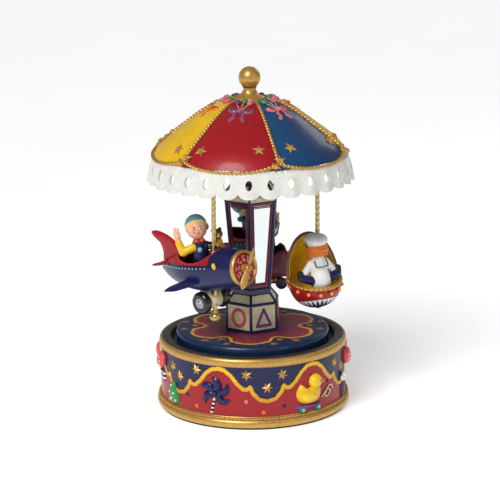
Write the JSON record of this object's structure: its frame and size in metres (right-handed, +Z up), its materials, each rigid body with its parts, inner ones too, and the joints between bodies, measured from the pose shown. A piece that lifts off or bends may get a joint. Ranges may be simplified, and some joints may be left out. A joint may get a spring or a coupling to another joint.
{
  "type": "wind-up musical carousel toy",
  "caption": "Wind-up musical carousel toy: painted drum base with a key-wound movement turns a mirrored column, striped canopy and hanging ride figures.",
  "frame": {"origin": "on the turntable's axis, at the underside of the felt that the base stands on", "axes": "+Z up along the turntable's axis; -Y is the front, where two faces of the column meet; +X is to the right seen from the front"},
  "size_m": [0.1328, 0.1328, 0.2212],
  "materials": {
    "drum_paint": "gloss enamel over cast resin",
    "platform_paint": "satin enamel over cast resin",
    "canopy_paint": "gloss enamel over cast resin",
    "red_paint": "gloss enamel over cast resin",
    "navy_paint": "gloss enamel over cast resin",
    "burgundy_paint": "gloss enamel over cast resin",
    "cream_paint": "satin enamel over cast resin",
    "yellow_paint": "gloss enamel over cast resin",
    "white_paint": "satin enamel over cast resin",
    "white_gloss": "gloss white glaze",
    "teal_paint": "gloss enamel over cast resin",
    "brown_paint": "satin enamel over cast resin",
    "skin_paint": "satin skin-tone paint",
    "black_gloss": "gloss black enamel",
    "silver_paint": "silver paint",
    "gold_paint": "antique gold paint with dark wash",
    "twisted_brass": "polished",
    "brass": "machined",
    "steel": "brushed",
    "zinc": "die cast",
    "mirror": "polished",
    "felt": "pressed felt",
    "cover_board": "hardboard"
  },
  "bodies": {
    "base": {"base_drum": "drum_paint", "bearing_bush": "brass", "felt_ring": "felt", "bottom_cover": "cover_board", "cover_screws": "steel", "movement_screws": "steel", "bedplate": "zinc", "comb_pad": "zinc", "comb": "steel", "comb_screws": "steel", "cylinder_bracket": "steel", "governor_bracket": "steel"},
    "carousel": {"spring_barrel": "steel", "mainspring": "steel", "drive_hub": "zinc", "platform": "platform_paint", "plinth_block": "cream_paint", "column_collar": "navy_paint", "column_shaft": "burgundy_paint", "mirror_panels": "mirror", "column_cap": "cream_paint", "canopy_post": "cream_paint", "tie_rod": "steel", "canopy": "canopy_paint", "valance": "white_gloss", "rope_trim": "gold_paint", "finial": "gold_paint", "pole_plane": "twisted_brass", "pole_boat": "twisted_brass", "pole_train": "twisted_brass", "pilot_doll": "skin_paint", "bear_doll": "brown_paint", "plane_hull": "red_paint", "plane_cowl": "navy_paint", "plane_wings": "navy_paint", "plane_tail": "red_paint", "engine_face": "gold_paint", "propeller_pin": "gold_paint", "axle_fairing": "cream_paint", "sailor_doll": "white_paint", "boat_hull": "red_paint", "boat_hood": "yellow_paint", "driver_doll": "teal_paint", "train_chassis": "navy_paint", "train_wheels": "gold_paint", "train_boiler": "teal_paint", "train_cab": "burgundy_paint"},
    "music_cylinder": {"cylinder": "brass", "cylinder_pinion": "brass", "cylinder_wheel": "brass"},
    "governor": {"governor_wheel": "brass"},
    "air_brake": {"governor_fly": "steel"},
    "key": {"winding_arbor": "steel", "winding_key": "brass"},
    "airscrew": {"propeller": "gold_paint"},
    "landing_wheels": {"plane_tyres": "black_gloss", "plane_axle": "silver_paint"}
  },
  "joints": [
    {"name": "turntable_spin", "type": "hinge", "parent": "base", "child": "carousel", "pos_m": [0, 0, 0.042], "axis": [0, 0, 1], "continuous": true},
    {"name": "cylinder_spin", "type": "hinge", "parent": "base", "child": "music_cylinder", "pos_m": [0.028, 0, 0.02407], "axis": [1, 0, 0], "continuous": true},
    {"name": "governor_spin", "type": "hinge", "parent": "base", "child": "governor", "pos_m": [0.033, 0.011, 0.02407], "axis": [1, 0, 0], "continuous": true},
    {"name": "fly_spin", "type": "hinge", "parent": "base", "child": "air_brake", "pos_m": [0.03, 0.0168, 0.02407], "axis": [0, 0, 1], "continuous": true},
    {"name": "key_turn", "type": "hinge", "parent": "base", "child": "key", "pos_m": [0, 0, 0.005], "axis": [0, 0, 1], "continuous": true},
    {"name": "propeller_spin", "type": "hinge", "parent": "carousel", "child": "airscrew", "pos_m": [-0.00308, -0.05578, 0.10379], "axis": [0.7223, -0.6736, 0.1564], "continuous": true},
    {"name": "wheels_roll", "type": "hinge", "parent": "carousel", "child": "landing_wheels", "pos_m": [-0.02572, -0.03268, 0.07767], "axis": [0.6724, 0.737, 0.0689], "continuous": true}
  ],
  "couplings": [
    {"joint": "cylinder_spin", "follows": "turntable_spin", "ratio": 3},
    {"joint": "governor_spin", "follows": "turntable_spin", "ratio": -8},
    {"joint": "fly_spin", "follows": "turntable_spin", "ratio": 128}
  ]
}
